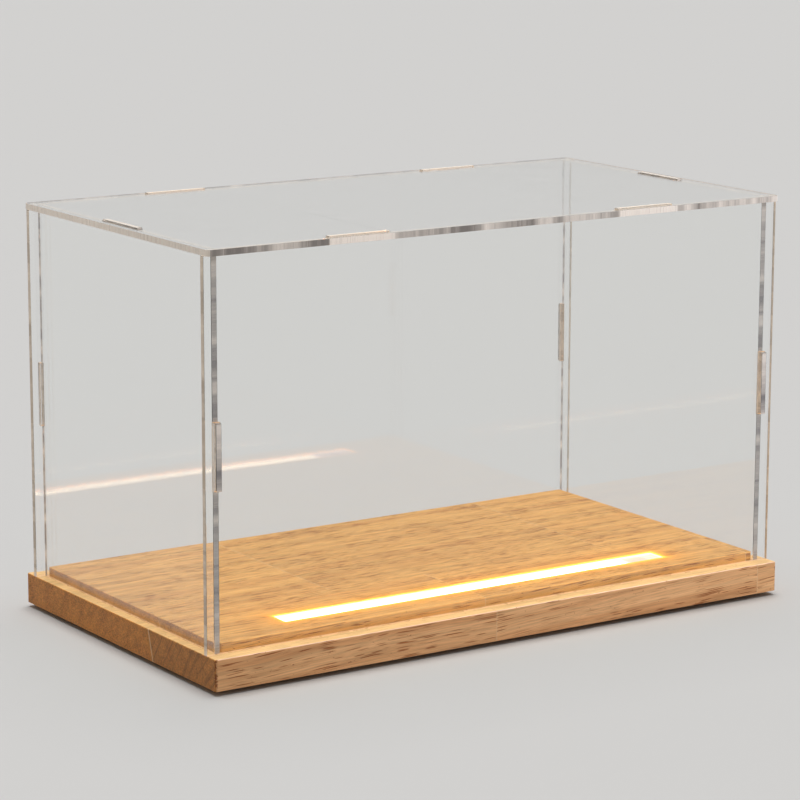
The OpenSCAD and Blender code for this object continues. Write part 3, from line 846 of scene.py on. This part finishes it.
# power board: tracks in two directions under the green mask, and tinned pads
powerBoard = {
    "mask": {
        "tone": tone(30, 96, 58), "metal": 0.0, "rough": 0.35,
        "grain": 0.5, "spread": 0.08, "relief": 0.01,
    },
    "track": tone(62, 134, 84),
    "pad": tone(214, 206, 186),
    "pitch": 1.27,
    "cell": (3, 2),  # pitches over which a track is laid or left out
    "trackHalf": 0.15,
    "trackFrom": (0.55, 0.5),  # random values above which a cell has tracks along Y and along X
    "padHalf": 0.32,
    "padFrom": 0.8,
}


def dressPowerBoard(look):
    material, tree, shader, ground, (x, y, _) = grained(fineGrain, "greenBoard", look["mask"])
    pitch = look["pitch"]
    cellX, cellY = (
        calc(tree, "ROUND", calc(tree, "DIVIDE", part, count * pitch))
        for part, count in zip((x, y), look["cell"])
    )
    random = addNode(tree, "TexWhiteNoise", {"Vector": joined(tree, cellX, cellY, 0.0)}).outputs["Color"]
    pickX, pickY, pickPad = split(tree, random)
    gridX, gridY = repeated(tree, x, 0.0, pitch), repeated(tree, y, 0.0, pitch)
    fromX, fromY = look["trackFrom"]
    lineX, lineY = (near(tree, grid, 0.0, look["trackHalf"]) for grid in (gridX, gridY))
    trackX = calc(tree, "MULTIPLY", lineX, calc(tree, "GREATER_THAN", pickX, fromX))
    trackY = calc(tree, "MULTIPLY", lineY, calc(tree, "GREATER_THAN", pickY, fromY))
    dots = near(tree, lengthOf(tree, joined(tree, gridX, gridY, 0.0)), 0.0, look["padHalf"])
    pads = calc(tree, "MULTIPLY", dots, calc(tree, "GREATER_THAN", pickPad, look["padFrom"]))
    tracked = mixTones(tree, calc(tree, "MAXIMUM", trackX, trackY), ground, look["track"])
    feed(tree, shader, Base_Color=mixTones(tree, pads, tracked, look["pad"]))
    dress(material, "power_board")


dressPowerBoard(powerBoard)


# lamp strip: white film with pairs of bare copper marks, and lamps with a glowing middle
strip = {
    "film": {
        "tone": tone(238, 238, 234), "metal": 0.0, "rough": 0.45,
        "grain": 0.6, "spread": 0.04, "relief": 0.01,
    },
    "lampBody": {
        "tone": tone(244, 242, 234), "metal": 0.0, "rough": 0.35,
        "grain": 0.3, "spread": 0.04, "relief": 0.01,
    },
    "middleY": -41.0,
    "first": -70.0,
    "pitch": 8.3,
    "markEvery": 3,  # lamps from one pair of marks to the next
    "mark": tone(196, 150, 92),
    "markHalf": (1.0, 0.6),
    "markAside": 1.5,
    "glow": tone(255, 214, 90),
    "glowHalf": (1.25, 1.0),
    "strength": 2.0,
}


def dressStrip(look):
    material, tree, shader, ground, (x, y, _) = grained(fineGrain, "stripFilm", look["film"])
    cutEvery = look["markEvery"] * look["pitch"]
    cutX = repeated(tree, x, look["first"] + cutEvery / 2, cutEvery)
    aside = near(tree, apart(tree, y, look["middleY"]), look["markAside"], look["markHalf"][1])
    mark = calc(tree, "MULTIPLY", near(tree, cutX, 0.0, look["markHalf"][0]), aside)
    feed(tree, shader, Base_Color=mixTones(tree, mark, ground, look["mark"]))
    dress(material, "led_board")


def dressLamps(look):
    material, tree, shader, ground, (x, y, _) = grained(fineGrain, "lampChip", look["lampBody"])
    lampX = near(tree, repeated(tree, x, look["first"], look["pitch"]), 0.0, look["glowHalf"][0])
    lens = calc(tree, "MULTIPLY", lampX, near(tree, y, look["middleY"], look["glowHalf"][1]))
    feed(tree, shader, Base_Color=mixTones(tree, lens, ground, look["glow"]))
    feed(tree, shader, Emission_Color=mixTones(tree, lens, black, look["glow"]))
    shader.inputs["Emission Strength"].default_value = look["strength"]
    dress(material, "led_chips")


dressStrip(strip)
dressLamps(strip)


# inlet's tongue: gold contacts on black
tongue = {
    "body": {
        "tone": tone(44, 44, 46), "metal": 0.0, "rough": 0.4,
        "grain": 0.2, "spread": 0.1, "relief": 0.01,
    },
    "contact": tone(226, 184, 92),
    "middleX": 62.5,
    "pitch": 0.5,
    "laneHalf": (0.13, 0.02),  # half width of a contact, and the softness of its edge
    "half": 2.9,
    "run": (57.6, 60.1),
}


def dressTongue(look):
    material, tree, shader, ground, (x, y, _) = grained(fineGrain, "inletTongue", look["body"])
    start, end = look["run"]
    contactX = repeated(tree, x, look["middleX"] + look["pitch"] / 2, look["pitch"])
    lane = near(tree, contactX, 0.0, *look["laneHalf"])
    alongY = near(tree, y, (start + end) / 2, (end - start) / 2)
    area = calc(tree, "MULTIPLY", alongY, near(tree, x, look["middleX"], look["half"]))
    gold = calc(tree, "MULTIPLY", lane, area)
    feed(tree, shader, Base_Color=mixTones(tree, gold, ground, look["contact"]), Metallic=gold)
    dress(material, "usb_tongue")


dressTongue(tongue)
print("boards, strip and inlet dressed")


# studio
studio = {
    "floor": tone(213, 216, 222),
    "floorRough": 0.85,
    "bounce": (0.50, 0.48, 0.46, 1.0),  # the floor as the object's lit sides see it
    "floorHalf": 12.0,
    "behind": (0.62, 0.615, 0.605, 1.0),
    "ambient": (0.22, 0.212, 0.195, 1.0),
    # the overhead lamp's angle is how wide it looks, in degrees
    "overhead": {"from": (0.10, 0.14, 1.0), "angle": 45.0, "colour": (1.0, 0.955, 0.88), "power": 2.4},
    "side": {
        "place": (0.52, -0.42, 0.28), "aim": (0.06, -0.06, 0.02), "size": 0.40,
        "colour": (0.97, 1.02, 1.16), "power": 2.8,
    },
}


def addLamp(name, kind, look, towards, place=(0, 0, 0)):
    data = bpy.data.lights.new(name, kind)
    data.energy = look["power"]
    data.color = look["colour"]
    lamp = bpy.data.objects.new(name, data)
    lamp.location = place
    lamp.rotation_euler = towards.to_track_quat("Z", "Y").to_euler()
    lamp.visible_glossy = False  # the clear sheets mirror the pale surroundings, not the lamps
    lamp.visible_transmission = False
    bpy.context.scene.collection.objects.link(lamp)
    return lamp


def spare(lamp, *surfaces):
    # keep a lamp's light off these surfaces
    spared = bpy.data.collections.new(lamp.name + "Spared")
    for surface in surfaces:
        spared.objects.link(surface)
    for row in spared.collection_objects:
        row.light_linking.link_state = "EXCLUDE"
    lamp.light_linking.receiver_collection = spared


def makeFloor(look):
    half = look["floorHalf"]
    mesh = bpy.data.meshes.new("floor")
    corners = [(-half, -half, 0), (half, -half, 0), (half, half, 0), (-half, half, 0)]
    mesh.from_pydata(corners, [], [(0, 1, 2, 3)])
    floor = bpy.data.objects.new("floor", mesh)
    bpy.context.scene.collection.objects.link(floor)
    material, tree, shader = newMaterial("paleFloor", Roughness=look["floorRough"])
    bounced = addNode(tree, "LightPath").outputs["Is Diffuse Ray"]
    feed(tree, shader, Base_Color=mixTones(tree, bounced, look["floor"], look["bounce"]))
    mesh.materials.append(material)
    return floor


def makeWorld(look):
    # the camera, mirrors and glass see the pale surroundings, and the object's lit sides a dimmer light
    world = bpy.data.worlds.new("studio")
    world.use_nodes = True
    tree = world.node_tree
    path = addNode(tree, "LightPath").outputs
    mirrored = calc(tree, "MAXIMUM", path["Is Glossy Ray"], path["Is Transmission Ray"])
    seen = calc(tree, "MAXIMUM", path["Is Camera Ray"], mirrored)
    sky = mixTones(tree, seen, look["ambient"], look["behind"])
    tree.links.new(sky, tree.nodes["Background"].inputs["Color"])
    bpy.context.scene.world = world


def makeStudio(look):
    floor = makeFloor(look)
    makeWorld(look)
    overhead, side = look["overhead"], look["side"]
    addLamp("overhead", "SUN", overhead, Vector(overhead["from"])).data.angle = radians(overhead["angle"])
    lamp = addLamp("side", "AREA", side, Vector(side["place"]) - Vector(side["aim"]), side["place"])
    lamp.data.size = side["size"]
    spare(lamp, floor)
    bpy.context.scene.view_settings.view_transform = "Standard"


makeStudio(studio)
print("studio made")
